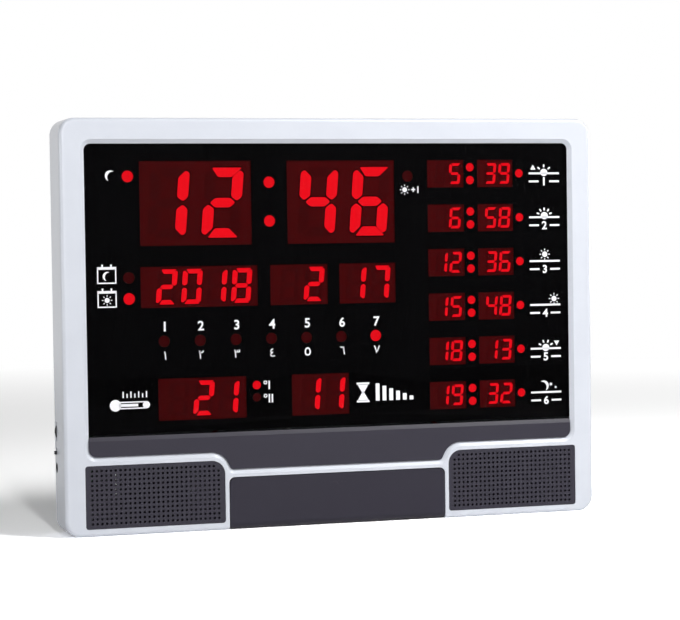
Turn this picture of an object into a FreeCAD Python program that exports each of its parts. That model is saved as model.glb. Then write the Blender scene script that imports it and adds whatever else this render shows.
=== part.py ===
import FreeCAD, Part
import math
import os

# Azan clock: a flat silver casing with a dark display window, speaker grilles and a push-open control door.
# Millimetres. Origin at the bottom centre, X to the viewer's right, Z up, front facing -Y.
# Depths (names ending in _d) are measured back from the front face.

V = FreeCAD.Vector

# Overall casing
width = 430.0
height = 315.0
shell_depth = 38.0
cover_rise = 5.0
wall = 2.5
corner_r = 12.0
front_edge_r = 3.0
running = 0.05
slip = 0.3

# Display window with the trim band below it
frame_side = 19.0
frame_top = 19.4
window_half = width / 2 - frame_side
window_top = height - frame_top
window_r = 5.0
band_top = 74.8
band_side_bottom = 59.8
band_mid_bottom = 46.3
band_r = 6.0
step_outer_x = 92.5
step_inner_x = 85.5
step_outer_r = 15.0
step_inner_r = 3.0
bevel_run = 3.4
seat_lap = 3.5
lens_thick = 2.0
mask_thick = 0.4
band_proud_d = 1.0
band_chamfer = 3.0
fit_gap = 0.15

# Control door and its hinge
door_half = 88.0
door_top = 40.4
door_corner_r = 4.5
door_gap = 0.7
door_thick = 2.5
hinge_d = 5.2
hinge_z = 5.5
pin_r = 1.55
pin_reach = 3.2
cheek = 3.0
ear = 3.0
ear_back_d = 12.0
striker_x = 4.2
striker_thick = 1.4

# Speaker grilles
grille_inner = door_half + ear
grille_side = 15.5
grille_outer = width / 2 - grille_side
grille_bottom = 5.6
grille_top = 53.6
grille_r = 2.2
grille_big_r = 10.5
grille_face_d = 0.4
grille_lap = 1.4
grille_flange = 1.5
hole_pitch = 3.63
hole_r = 0.95
hole_margin_x = 5.2
hole_margin_z = 4.0
hole_columns = 1 + int((grille_outer - grille_inner - 2 * hole_margin_x) / hole_pitch + 0.1)
hole_rows = 1 + int((grille_top - grille_bottom - 2 * hole_margin_z) / hole_pitch + 0.1)
hole_mid_x = (grille_inner + grille_outer) / 2
hole_mid_z = (grille_bottom + grille_top) / 2

# Key panel behind the door
panel_thick = 1.8
panel_top = 42.4
key_count = 6
key_pitch = 24.0
key_z = 19.0
key_wide = 15.0
key_tall = 8.0
key_proud = 2.6
key_travel = 0.9
key_flange = 1.0
key_lip = 1.2
switch_size = 6.0
switch_high = 3.4
board_thick = 1.6

# Push latch
latch_z = 34.0
latch_half = 6.0
latch_depth = 12.0
plunger_r = 2.5
plunger_travel = 2.0

# Left flank controls
flank_d = 31.8
wheel_z = 78.0
wheel_r = 8.0
wheel_proud = 1.25
wheel_thick = 2.6
switch_z = 62.0
knob_tall = 2.6
knob_proud = 1.7
knob_travel = 2.4
jack_z = 50.5
jack_nose_r = 3.9
jack_bore_r = 2.9
jack_depth = 9.0
side_board_d = 27.0

# Display electronics
face_gap = 0.2
segment_high = 0.2
module_deep = 10.0
slant = 0.08
board_bottom = band_top + 3.2
board_top = window_top - 3.6
spacer_long = 7.1
main_half = 60.0
main_tall = 90.0
main_bottom = board_bottom + 24.0
main_top = main_bottom + main_tall

# Loudspeakers
speaker_half = 25.0
speaker_z = hole_mid_z
speaker_x = hole_mid_x
speaker_screw = speaker_half - 3.5
speaker_flange = 1.5
speaker_post = 2.5
magnet_r = 14.0

# Rear cover
rim_thick = 2.0
dome_half = width / 2 - 16.0
dome_bottom = 16.0
dome_top = height - 18.0
dome_inset = 4.0
cover_wall = 2.0
keyhole_x = 120.0
keyhole_z = height - 53.0
keyhole_entry_r = 4.5
keyhole_slot_r = 2.3
keyhole_rise = 10.0

# Battery compartment for the back-up cells
cell_r = 7.1
cell_long = 50.0
bay_wall = 1.6
bay_mid_z = 76.0
lid_overlap = 3.0
lid_gap = 0.6
lid_thick = 2.0
tab_reach = 2.5

# Fasteners
post_r = 3.5
screw_r = 1.3
head_r = 3.0
head_high = 1.8

front_y = -(shell_depth + cover_rise) / 2
lens_d = wall
mask_d = lens_d + lens_thick
segment_d = mask_d + mask_thick + face_gap
module_d = segment_d + segment_high
board_d = module_d + module_deep
main_d = board_d + board_thick + spacer_long
rim_d = shell_depth - rim_thick
speaker_d = wall + grille_flange + speaker_post
speaker_corners = [(i * speaker_screw, k * speaker_screw) for i in (-1, 1) for k in (-1, 1)]
back_d = shell_depth + cover_rise
panel_d = ear_back_d
key_flange_d = panel_d + panel_thick + slip
switch_tip_d = key_flange_d + 2 * key_flange + key_travel + 0.1
key_board_d = switch_tip_d + 1.0 + switch_high
latch_floor_d = panel_d + panel_thick + latch_depth - 1.5
post_x = width / 2 - wall - post_r - slip * 10
cover_posts = [(sx * post_x, z) for sx in (-1, 1) for z in (12.0, height / 2, height - 12.0)]
cover_posts += [(sx * 75.0, height - wall - post_r - 4.0) for sx in (-1, 1)]
board_half = post_x + post_r
board_post_z = (board_bottom + 12, height / 2 + 64, board_top - 10)
board_posts = [(sx * post_x, z) for sx in (-1, 1) for z in board_post_z]
side_posts = [(-post_x, z) for z in (wheel_z - 36, wheel_z - 8)]

# Places of the digit groups: middle x of each digit, middle z, digit height and width
time_style = {"tall": 53.0, "wide": 30.0, "upright": 8.3, "level": 6.8}
date_style = {"tall": 26.0, "wide": 15.0, "upright": 3.5, "level": 2.8}
prayer_style = {"tall": 16.0, "wide": 9.3, "upright": 1.9, "level": 1.7}
window_tall = window_top - band_top
time_z = band_top + 0.796 * window_tall
date_z = band_top + 0.508 * window_tall
weekday_z = band_top + 0.321 * window_tall
count_z = band_top + 0.1215 * window_tall
time_pitch = 42.5
date_pitch = 19.6
prayer_pitch = 11.8
prayer_rows = 6
prayer_top_z = window_top - 23.8
prayer_step = (window_tall - 45.8) / (prayer_rows - 1)


def spread(middle, pitch, count):
    """Centres of a row of digits."""
    return [middle + pitch * (i - (count - 1) / 2) for i in range(count)]


time_digits_x = spread(-109.7, time_pitch, 2) + spread(9.0, time_pitch, 2)
date_digits_x = spread(-103.8, date_pitch, 4) + spread(-26.0, date_pitch, 2) + spread(28.0, date_pitch, 2)
count_digits_x = spread(-105.5, date_pitch, 3) + spread(-10.3, date_pitch, 2)
prayer_digits_x = spread(95.2, prayer_pitch, 2) + spread(137.0, prayer_pitch, 2)

# Windows in the mask: x range and z range
date_windows = [(-153.6, -61.7), (-51.6, -5.4), (4.2, 50.4)]
count_windows = [(-141.2, -72.0), (-35.4, 10.9)]
time_windows = [(-153.4, -65.8), (-37.2, 50.3)]
prayer_windows = [(77.9, 108.5), (119.9, 150.2)]
time_window_z = (time_z - 32.3, time_z + 32.0)
date_window_z = (date_z - 15.7, date_z + 15.5)
count_window_z = (count_z - 16.3, count_z + 15.7)
prayer_window_tall = 21.7

# Round indicator lights: x, z, radius of the opening
dot_r = 4.5
small_dot_r = 3.4
weekday_x = [-136.0 + 28.25 * i for i in range(7)]
dots = [(-162.3, time_z + 20.4, dot_r), (61.6, time_z + 19.5, dot_r)]
dots += [(-162.5, date_z + z, dot_r) for z in (7.4, -8.5)]
dots += [(-51.4, time_z + z, dot_r) for z in (15.4, -14.4)]
dots += [(x, weekday_z, dot_r) for x in weekday_x]
dots += [(-63.6, count_z + z, small_dot_r) for z in (8.4, -1.0)]
for row in range(prayer_rows):
    row_z = prayer_top_z - row * prayer_step
    dots += [(113.9, row_z + z, small_dot_r) for z in (5.0, -5.2)]
    dots += [(155.7, row_z, small_dot_r)]


def at(x, d, z):
    """A point at depth d behind the front face."""
    return V(x, front_y + d, z)


def block(x0, x1, d0, d1, z0, z1):
    return Part.makeBox(x1 - x0, d1 - d0, z1 - z0, at(x0, d0, z0))


def rod(x, z, r, d0, d1):
    """A cylinder that runs front to back."""
    return Part.makeCylinder(r, d1 - d0, at(x, d0, z), V(0, 1, 0))


def cross_rod(x0, x1, d, z, r):
    """A cylinder that runs left to right."""
    return Part.makeCylinder(r, x1 - x0, at(x0, d, z), V(1, 0, 0))


def turned(profile, x, z):
    """A solid turned about a front-to-back axis from (radius, depth) points."""
    points = [at(x + r, d, z) for r, d in profile]
    face = Part.Face(Part.makePolygon(points + points[:1]))
    return face.revolve(at(x, 0, z), V(0, 1, 0), 360)


def corner(before, point, after, r):
    """Where the arc of radius r starts, its middle and its end, at one corner of an outline."""
    to_before = V(before[0] - point[0], 0, before[1] - point[1]).normalize()
    to_after = V(after[0] - point[0], 0, after[1] - point[1]).normalize()
    half = to_before.getAngle(to_after) / 2
    middle = (to_before + to_after).normalize() * (r / math.sin(half) - r)
    p = V(point[0], 0, point[1])
    reach = r / math.tan(half)
    return p + to_before * reach, p + middle, p + to_after * reach


def outline(points, radii, d):
    """A closed wire of straight lines and tangent arcs at depth d."""
    shift = V(0, front_y + d, 0)
    count = len(points)
    arcs = [corner(points[i - 1], points[i], points[(i + 1) % count], radii[i]) for i in range(count)]
    edges = []
    for i, (start, middle, end) in enumerate(arcs):
        edges.append(Part.Arc(start + shift, middle + shift, end + shift).toShape())
        edges.append(Part.LineSegment(end + shift, arcs[(i + 1) % count][0] + shift).toShape())
    return Part.Wire(edges)


def plate(points, radii, d0, d1):
    return Part.Face(outline(points, radii, d0)).extrude(V(0, d1 - d0, 0))


def funnel(points, radii, d0, more_points, more_radii, d1):
    """A solid between two like outlines at two depths."""
    wires = [outline(points, radii, d0), outline(more_points, more_radii, d1)]
    return Part.makeLoft(wires, True, True)


def box_points(x0, x1, z0, z1):
    return [(x0, z0), (x1, z0), (x1, z1), (x0, z1)]


def grown(points, radii, by):
    """An outline moved outwards by a distance, with its radii to suit."""
    count = len(points)
    new_points = []
    new_radii = []
    for i in range(count):
        ax, az = points[i - 1]
        bx, bz = points[i]
        cx, cz = points[(i + 1) % count]
        ux, uz = bx - ax, bz - az
        vx, vz = cx - bx, cz - bz
        u = math.hypot(ux, uz)
        v = math.hypot(vx, vz)
        turn = (ux * vz - uz * vx) / (u * v)
        nx, nz = uz / u + vz / v, -ux / u - vx / v
        scale = 2 * by / (nx * nx + nz * nz)
        new_points.append((bx + nx * scale, bz + nz * scale))
        new_radii.append(radii[i] + (by if turn > 0 else -by))
    return new_points, new_radii


def joined(first, *others):
    return first.fuse(list(others)).removeSplitter()


def group(shapes):
    """Separate like pieces kept in one file."""
    return Part.makeCompound(shapes)


# Outlines that several pieces share
casing_points = box_points(-width / 2, width / 2, 0, height)
casing_radii = [corner_r] * 4
opening_points = [
    (-window_half, band_side_bottom), (-step_outer_x, band_side_bottom), (-step_inner_x, band_mid_bottom),
    (step_inner_x, band_mid_bottom), (step_outer_x, band_side_bottom), (window_half, band_side_bottom),
    (window_half, window_top), (-window_half, window_top),
]
opening_radii = [band_r, step_outer_r, step_inner_r, step_inner_r, step_outer_r, band_r, window_r, window_r]


def grille_outline(side):
    """The outline of one grille, with its large corner towards the door at the top."""
    points = box_points(grille_inner, grille_outer, grille_bottom, grille_top)
    radii = [grille_r, grille_r, grille_r, grille_big_r]
    if side < 0:
        points = [(-x, z) for x, z in reversed(points)]
        radii = radii[::-1]
    return points, radii


def door_outline(half, top, bottom):
    points = box_points(-half, half, bottom, top)
    return points, [0.2, 0.2, door_corner_r, door_corner_r]


def front_bezel():
    outer = plate(casing_points, casing_radii, 0, shell_depth)
    front_edges = [e for e in outer.Edges if all(abs(v.Y - front_y) < 0.01 for v in e.Vertexes)]
    outer = outer.makeFillet(front_edge_r, front_edges)
    hollow = plate(*grown(casing_points, casing_radii, -wall), wall, shell_depth + 1)
    shell = outer.cut(hollow)
    posts = [rod(x, z, post_r, wall, rim_d) for x, z in cover_posts]
    posts += [rod(x, z, post_r, wall, board_d) for x, z in board_posts]
    posts += [rod(x, z, post_r, wall, side_board_d) for x, z in side_posts]
    ears = [block(*sorted((sx * door_half, sx * (door_half + ear))), wall, ear_back_d, wall, door_top)
            for sx in (-1, 1)]
    shell = joined(shell, *posts, *ears)
    cuts = [funnel(*grown(opening_points, opening_radii, bevel_run), 0, opening_points, opening_radii, wall)]
    cuts += [plate(*grille_outline(sx), -1, wall) for sx in (-1, 1)]
    cuts.append(plate(*door_outline(door_half, door_top, -5), -1, wall))
    barrel_back = 2 * hinge_d + 0.5
    cuts.append(block(-door_half, door_half, -1, barrel_back, -1, wall))
    bore_r = pin_r + running
    cuts.append(cross_rod(-door_half - ear - 1, -door_half + 1, hinge_d, hinge_z, bore_r))
    cuts.append(cross_rod(door_half - 1, door_half + ear + 1, hinge_d, hinge_z, bore_r))
    cuts += [rod(x, z, screw_r, rim_d - 14, rim_d + 1) for x, z in cover_posts]
    cuts += [rod(x, z, screw_r, board_d - 8, board_d + 1) for x, z in board_posts]
    cuts += [rod(x, z, screw_r, side_board_d - 8, side_board_d + 1) for x, z in side_posts]
    left = -width / 2
    slot_half = math.sqrt(wheel_r ** 2 - (wheel_r - wheel_proud - wall) ** 2) + slip * 2
    deep = wheel_thick / 2 + slip
    cuts.append(block(left - 1, left + wall + 1, flank_d - deep, flank_d + deep,
                      wheel_z - slot_half, wheel_z + slot_half))
    room = knob_tall / 2 + slip
    cuts.append(block(left - 1, left + wall + 1, flank_d - room, flank_d + room,
                      switch_z - room, switch_z + room + knob_travel))
    cuts.append(cross_rod(left - 1, left + wall + 1, flank_d, jack_z, jack_nose_r + fit_gap))
    return shell.cut(cuts)


def display_lens():
    half = window_half + seat_lap
    points = box_points(-half, half, band_top + fit_gap, window_top + seat_lap)
    return plate(points, [1.0, 1.0, window_r, window_r], lens_d, lens_d + lens_thick)


def display_mask():
    inset = 1.5
    points = box_points(-window_half - inset, window_half + inset, band_top + inset, window_top + inset)
    sheet = plate(points, [1.0, 1.0, window_r, window_r], mask_d, mask_d + mask_thick)
    d0 = mask_d - 1
    d1 = mask_d + mask_thick + 1
    cuts = [block(x0, x1, d0, d1, *time_window_z) for x0, x1 in time_windows]
    cuts += [block(x0, x1, d0, d1, *date_window_z) for x0, x1 in date_windows]
    cuts += [block(x0, x1, d0, d1, *count_window_z) for x0, x1 in count_windows]
    for row in range(prayer_rows):
        z = prayer_top_z - row * prayer_step
        half = prayer_window_tall / 2
        cuts += [block(x0, x1, d0, d1, z - half, z + half) for x0, x1 in prayer_windows]
    cuts += [rod(x, z, r, d0, d1) for x, z, r in dots]
    return sheet.cut(cuts)


def trim_band():
    far = 2 * window_half
    body = plate(*grown(opening_points, opening_radii, -fit_gap), band_proud_d, wall)
    flange = plate(*grown(opening_points, opening_radii, seat_lap), wall, wall + lens_thick)
    whole = joined(body, flange).cut(block(-far, far, -1, back_d, band_top, height))
    chamfer_z = band_top - band_chamfer
    slope = [at(-far, wall, band_top), at(-far, band_proud_d - 1, band_top),
             at(-far, band_proud_d - 1, chamfer_z), at(-far, band_proud_d, chamfer_z)]
    wedge = Part.Face(Part.makePolygon(slope + slope[:1])).extrude(V(2 * far, 0, 0))
    return whole.cut(wedge)


def speaker_grille(side):
    points, radii = grille_outline(side)
    face = plate(*grown(points, radii, -fit_gap), grille_face_d, wall)
    flange = plate(*grown(points, radii, grille_lap), wall, wall + grille_flange)
    ear_side = sorted((0, side * (door_half + ear + fit_gap)))
    flange = flange.cut(block(*ear_side, 0, shell_depth, 0, height))
    posts = [rod(side * speaker_x + i, speaker_z + k, 2.4, wall + grille_flange, speaker_d)
             for i, k in speaker_corners]
    whole = joined(face, flange, *posts)
    holes = []
    for column in range(hole_columns):
        for row in range(hole_rows):
            x = (column - (hole_columns - 1) / 2) * hole_pitch
            z = (row - (hole_rows - 1) / 2) * hole_pitch
            if not (column == 0 and row == hole_rows - 1):
                holes.append(rod(side * (hole_mid_x + x), hole_mid_z + z, hole_r, 0, shell_depth))
    return whole.cut(holes)


def control_door():
    half = door_half - door_gap
    top = door_top - door_gap
    leaf = plate(*door_outline(half, top, hinge_z - 1), 0, door_thick)
    leaf = leaf.cut(block(-half - 1, half + 1, -1, door_thick + 1, 0, hinge_z))
    inner_r = hinge_d - door_thick
    tube = cross_rod(-half, half, hinge_d, hinge_z, hinge_d)
    tube = tube.cut(cross_rod(-half - 1, half + 1, hinge_d, hinge_z, inner_r))
    curl = tube.common(block(-half, half, 0, hinge_d, 0, hinge_z))
    ends = []
    for side in (-1, 1):
        disc = sorted((side * half, side * (half - cheek)))
        pin = sorted((side * (half - 1), side * (half + pin_reach)))
        ends.append(cross_rod(*disc, hinge_d, hinge_z, hinge_d))
        ends.append(cross_rod(*pin, hinge_d, hinge_z, pin_r))
        prong = sorted((side * striker_x, side * (striker_x + striker_thick)))
        ends.append(block(*prong, door_thick - 0.5, door_thick + 3.5, latch_z - 2, latch_z + 2))
    return joined(leaf, curl, *ends)


key_x = spread(0, key_pitch, key_count)
board_feet = [(sx * 74.0, z) for sx in (-1, 1) for z in (10.0, 29.0)]


def key_panel():
    back = block(-door_half - ear, door_half + ear, panel_d, panel_d + panel_thick, wall + slip, panel_top)
    roof = block(-door_half, door_half, wall, panel_d, door_top + 0.4, panel_top)
    posts = [rod(x, z, 2.5, panel_d + panel_thick, key_board_d) for x, z in board_feet]
    whole = joined(back, roof, *posts)
    cuts = [block(x - key_wide / 2 - slip, x + key_wide / 2 + slip, panel_d - 1, panel_d + panel_thick + 1,
                  key_z - key_tall / 2 - slip, key_z + key_tall / 2 + slip) for x in key_x]
    cuts.append(rod(0, latch_z, plunger_r + slip, panel_d - 1, panel_d + panel_thick + 1))
    cuts += [rod(x, z, screw_r, key_board_d - 5, key_board_d + 1) for x, z in board_feet]
    return whole.cut(cuts)


def key(x):
    """One rubber-tipped key: cap, retaining flange and stem."""
    cap = block(x - key_wide / 2, x + key_wide / 2, panel_d - key_proud, key_flange_d,
                key_z - key_tall / 2, key_z + key_tall / 2)
    upright_edges = [e for e in cap.Edges if abs(e.Vertexes[0].Y - e.Vertexes[1].Y) > key_proud]
    cap = cap.makeFillet(1.0, upright_edges)
    wide = key_wide / 2 + key_lip
    tall = key_tall / 2 + key_lip
    flange = block(x - wide, x + wide, key_flange_d, key_flange_d + key_flange, key_z - tall, key_z + tall)
    stem = rod(x, key_z, 1.6, key_flange_d, key_flange_d + 2 * key_flange)
    return joined(cap, flange, stem)


def key_switches():
    pieces = []
    half = switch_size / 2
    for x in key_x:
        base = block(x - half, x + half, switch_tip_d + 1, key_board_d, key_z - half, key_z + half)
        pieces.append(joined(base, rod(x, key_z, 1.7, switch_tip_d, switch_tip_d + 1)))
    return group(pieces)


def key_board():
    """The key board, notched under the latch."""
    back = key_board_d + board_thick
    board = block(-78.0, 78.0, key_board_d, back, 6.5, 33.0)
    notch = block(-20.0, 20.0, key_board_d - 1, back + 1, latch_z - 5.5, latch_z + 5)
    return board.cut([notch] + [rod(x, z, screw_r, key_board_d - 1, back + 1) for x, z in board_feet])


def latch_body():
    start = panel_d + panel_thick
    body = block(-latch_half, latch_half, start, start + latch_depth, latch_z - 4.4, latch_z + latch_half)
    return body.cut(rod(0, latch_z, plunger_r + running, start - 1, latch_floor_d))


def latch_plunger():
    return rod(0, latch_z, plunger_r, door_thick + slip, latch_floor_d - plunger_travel - 0.5)


wheel_x = -width / 2 - wheel_proud + wheel_r
wheel_d = flank_d - wheel_thick / 2


def volume_wheel():
    disc = rod(wheel_x, wheel_z, wheel_r, wheel_d, wheel_d + wheel_thick)
    ribs = 30
    grooves = [rod(wheel_x + (wheel_r + 0.15) * math.cos(2 * math.pi * i / ribs),
                   wheel_z + (wheel_r + 0.15) * math.sin(2 * math.pi * i / ribs), 0.4, wheel_d - 1,
                   wheel_d + wheel_thick + 1) for i in range(ribs)]
    return disc.cut(grooves + [rod(wheel_x, wheel_z, 1.5 + running, wheel_d - 1, wheel_d + wheel_thick + 1)])


def volume_control():
    start = side_board_d + board_thick
    body = rod(wheel_x, wheel_z, 4.2, start, wheel_d - slip)
    return joined(body, rod(wheel_x, wheel_z, 1.5, start, wheel_d + wheel_thick + 0.6))


def slide_switch_body():
    start = side_board_d + board_thick
    inner = -width / 2 + wall + slip
    body = block(inner, inner + 4.5, start, flank_d + 3.0, switch_z - 4.5, switch_z + 5)
    slot = block(inner - 1, inner + 2.2, flank_d - 1.0 - slip, flank_d + 1.0 + slip, switch_z - 1.0 - slip,
                 switch_z + 1.0 + knob_travel + slip)
    return body.cut(slot)


def slide_switch_knob():
    outer = -width / 2
    cap = block(outer - knob_proud, outer + wall, flank_d - knob_tall / 2, flank_d + knob_tall / 2,
                switch_z - knob_tall / 2, switch_z + knob_tall / 2)
    inner = outer + wall
    stem = block(inner, inner + slip + 2.0, flank_d - 1, flank_d + 1, switch_z - 1, switch_z + 1)
    return joined(cap, stem)


def power_socket():
    outer = -width / 2
    inner = outer + wall + slip
    body = block(inner, inner + 11.0, side_board_d + board_thick, rim_d - slip, jack_z - 4.6, jack_z + 4.6)
    nose = cross_rod(outer, inner, flank_d, jack_z, jack_nose_r)
    bore = cross_rod(outer - 1, outer + jack_depth, flank_d, jack_z, jack_bore_r)
    pin = cross_rod(outer + 1.0, outer + jack_depth + 1, flank_d, jack_z, 1.0)
    return joined(joined(body, nose).cut(bore), pin)


def side_board():
    edge = -post_x - 5.0
    back = side_board_d + board_thick
    board = block(edge, edge + 23.0, side_board_d, back, wheel_z - 41, wheel_z + 13)
    return board.cut([rod(x, z, screw_r, side_board_d - 1, side_board_d + 3) for x, z in side_posts])


def display_board():
    board = block(-board_half, board_half, board_d, board_d + board_thick, board_bottom, board_top)
    clear = post_r + 1
    cuts = []
    for x, z in cover_posts:
        if board_bottom < z < board_top:
            reach = sorted((x - math.copysign(clear, x), x + math.copysign(clear + wall, x)))
            cuts.append(block(*reach, board_d - 1, board_d + 3, z - clear, z + clear))
    cuts += [rod(x, z, screw_r, board_d - 1, board_d + 3) for x, z in board_posts]
    return board.cut(cuts)


def housings(windows, z_range):
    """Digit module bodies that fill one row of windows, soldered to the display board."""
    margin = 1.2
    return [block(x0 - margin, x1 + margin, module_d, board_d, z_range[0] - margin, z_range[1] + margin)
            for x0, x1 in windows]


def prayer_housings():
    bodies = []
    for row in range(prayer_rows):
        z = prayer_top_z - row * prayer_step
        half = prayer_window_tall / 2
        bodies += housings(prayer_windows, (z - half, z + half))
    return bodies


def segments(x, z, style):
    """The seven light bars of one slanted digit."""
    tall, wide = style["tall"], style["wide"]
    upright, level = style["upright"], style["level"]
    cut = 0.04 * wide
    x1, z1 = wide / 2, tall / 2
    mid = level / 2
    slope = upright * 0.55
    top = [(-x1 + 0.12 * wide + cut, z1), (x1 - cut, z1), (x1 - upright - cut / 2, z1 - level),
           (-x1 + upright + cut * 1.5, z1 - level)]
    middle = [(-x1 + cut * 2 + upright * 0.3, 0), (-x1 + slope + upright * 0.4 + cut, mid),
              (x1 - slope - upright * 0.4 - cut, mid), (x1 - cut * 2 - upright * 0.3, 0),
              (x1 - slope - upright * 0.4 - cut, -mid), (-x1 + slope + upright * 0.4 + cut, -mid)]
    right = [(x1, z1 - level * 0.55), (x1 - upright * 0.35, z1 - level * 0.25),
             (x1 - upright, z1 - level * 1.05), (x1 - upright, mid + cut), (x1 - upright * 0.45, cut),
             (x1, mid + cut)]
    bottom = [(x, -z) for x, z in top]
    left = [(-x, z) for x, z in right]
    low_right = [(x, -z) for x, z in right]
    low_left = [(-x, -z) for x, z in right]
    bars = []
    for points in (top, middle, right, left, low_right, low_left, bottom):
        corners = [at(x + px + slant * pz, segment_d, z + pz) for px, pz in points]
        bars.append(Part.Face(Part.makePolygon(corners + corners[:1])).extrude(V(0, segment_high, 0)))
    return bars


def digit_bars(centres, z, style):
    return [bar for x in centres for bar in segments(x, z, style)]


def prayer_bars():
    bars = []
    for row in range(prayer_rows):
        bars += digit_bars(prayer_digits_x, prayer_top_z - row * prayer_step, prayer_style)
    return bars


def indicator_lights():
    return group([rod(x, z, r - fit_gap, segment_d, board_d) for x, z, r in dots])


def speaker(side):
    """Basket, cone and magnet of one loudspeaker."""
    x = side * speaker_x
    z = speaker_z
    start = speaker_d
    square = box_points(x - speaker_half, x + speaker_half, z - speaker_half, z + speaker_half)
    holes = [rod(x, z, 21.0, start - 1, start + 3)]
    holes += [rod(x + i, z + k, screw_r, start - 1, start + 3) for i, k in speaker_corners]
    flange = plate(square, [5.0] * 4, start, start + speaker_flange).cut(holes)
    seat = start + speaker_flange
    frame = turned([(21.0, seat), (23.0, seat), (13.5, start + 9.5), (13.5, start + 11.0),
                    (8.0, start + 11.0), (8.0, start + 9.5), (12.3, start + 9.5)], x, z)
    basket = joined(flange, frame)
    cone = turned([(20.7, start + 0.2), (20.7, start + 0.8), (7.5, start + 7.5), (0.01, start + 7.5),
                   (0.01, start + 6.9), (7.2, start + 6.9)], x, z)
    ring = turned([(20.0, start + 0.1), (20.9, start + 0.1), (20.9, start + 1.4), (20.0, start + 1.4)], x, z)
    cone = joined(cone, ring)
    pole = rod(x, z, 7.4, start + 7.6, start + 11.0)
    magnet = joined(rod(x, z, magnet_r, start + 11.0, start + 18.0), pole)
    return basket, cone, magnet


dome_points = box_points(-dome_half, dome_half, dome_bottom, dome_top)
dome_radii = [14.0] * 4
bay_half_x = cell_long / 2 + 3.5
bay_half_z = cell_r * 2 + 0.6
bay_deep = 2 * cell_r + 1.0
lid_half_x = bay_half_x + lid_overlap
lid_half_z = bay_half_z + lid_overlap
lid_low = bay_mid_z - lid_half_z
bay_floor_d = back_d - cover_wall - lid_thick - bay_deep
tab_x = (-18.0, 18.0)
tab_half = 4.5


def rear_cover():
    rim = plate(*grown(casing_points, casing_radii, -wall - 0.2), rim_d, shell_depth)
    dome = funnel(dome_points, dome_radii, shell_depth, *grown(dome_points, dome_radii, -dome_inset), back_d)
    inside = grown(dome_points, dome_radii, -cover_wall)
    hollow = plate(*inside, rim_d - 1, shell_depth)
    rise = funnel(*inside, shell_depth, *grown(*inside, -dome_inset), back_d - cover_wall)
    tub = block(-lid_half_x - bay_wall, lid_half_x + bay_wall, bay_floor_d - bay_wall, back_d - cover_wall,
                lid_low - bay_wall - 3.5, bay_mid_z + lid_half_z + bay_wall)
    cover = joined(rim, dome).cut([hollow, rise])
    cover = joined(cover, tub)
    low, high = bay_mid_z - bay_half_z, bay_mid_z + bay_half_z
    cuts = [block(-bay_half_x, bay_half_x, bay_floor_d, back_d + 1, low, high)]
    cuts.append(block(-lid_half_x, lid_half_x, back_d - lid_thick - 0.2, back_d + 1, lid_low,
                      bay_mid_z + lid_half_z))
    tab_room = (back_d - cover_wall - 4.5, back_d - cover_wall)
    room = tab_half + 1
    cuts += [block(x - room, x + room, *tab_room, lid_low - 3.4, lid_low + 6.0) for x in tab_x]
    cuts.append(block(-5.5, 5.5, back_d - lid_thick - 2.6, back_d + 1, bay_mid_z + lid_half_z - 3.0,
                      bay_mid_z + lid_half_z + 1.2))
    for sx in (-1, 1):
        x = sx * keyhole_x
        cuts.append(rod(x, keyhole_z, keyhole_entry_r, rim_d, back_d + 1))
        cuts.append(block(x - keyhole_slot_r, x + keyhole_slot_r, rim_d, back_d + 1, keyhole_z,
                          keyhole_z + keyhole_rise))
        cuts.append(rod(x, keyhole_z + keyhole_rise, keyhole_slot_r, rim_d, back_d + 1))
    cuts += [rod(x, z, screw_r + 0.4, rim_d - 1, shell_depth + 1) for x, z in cover_posts]
    for i in range(17):
        x = (i - 8) * 8.0
        cuts.append(block(x - 1.5, x + 1.5, rim_d, back_d + 1, keyhole_z - 57, keyhole_z - 22))
    for sx in (-1, 1):
        for i in range(7):
            x = sx * speaker_x + (i - 3) * 7.0
            cuts.append(block(x - 1.5, x + 1.5, rim_d, back_d + 1, speaker_z - 6, speaker_z + 14))
    return cover.cut(cuts)


def battery_lid():
    gap = lid_gap
    x = lid_half_x - 0.3
    low = lid_low + gap
    high = bay_mid_z + lid_half_z - 0.3
    lid = block(-x, x, back_d - lid_thick, back_d, low, high)
    inside = back_d - cover_wall
    feet = []
    for t in tab_x:
        reach = (t - tab_half, t + tab_half)
        feet.append(block(*reach, inside - 1.6, inside - slip, lid_low - tab_reach, low + 3.0))
        feet.append(block(*reach, inside - 1.6, inside, low, low + 3.0))
    catch = block(-tab_half, tab_half, inside - 1.4, inside, high - 2.0, high + 0.4)
    return joined(lid, *feet, catch)


def battery_cells():
    cells = []
    for sz in (-1, 1):
        z = bay_mid_z + sz * (cell_r + 0.15)
        d = bay_floor_d + cell_r
        body = cross_rod(-cell_long / 2, cell_long / 2 - 1.0, d, z, cell_r)
        cells.append(joined(body, cross_rod(cell_long / 2 - 1.0, cell_long / 2, d, z, 2.7)))
    return group(cells)


def battery_contacts():
    pieces = []
    d = bay_floor_d + cell_r
    for sx in (-1, 1):
        for sz in (-1, 1):
            z = bay_mid_z + sz * (cell_r + 0.15)
            x = sx * bay_half_x
            sheet = block(*sorted((x, x - sx * 0.5)), d - 5, d + 5, z - 5, z + 5)
            spring = Part.makeCone(4.0, 2.2, 3.0, at(x - sx * 0.5, d, z), V(-sx, 0, 0))
            pieces.append(joined(sheet, spring))
    return group(pieces)


def main_board():
    return block(-main_half, main_half, main_d, main_d + board_thick, main_bottom, main_top)


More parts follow.
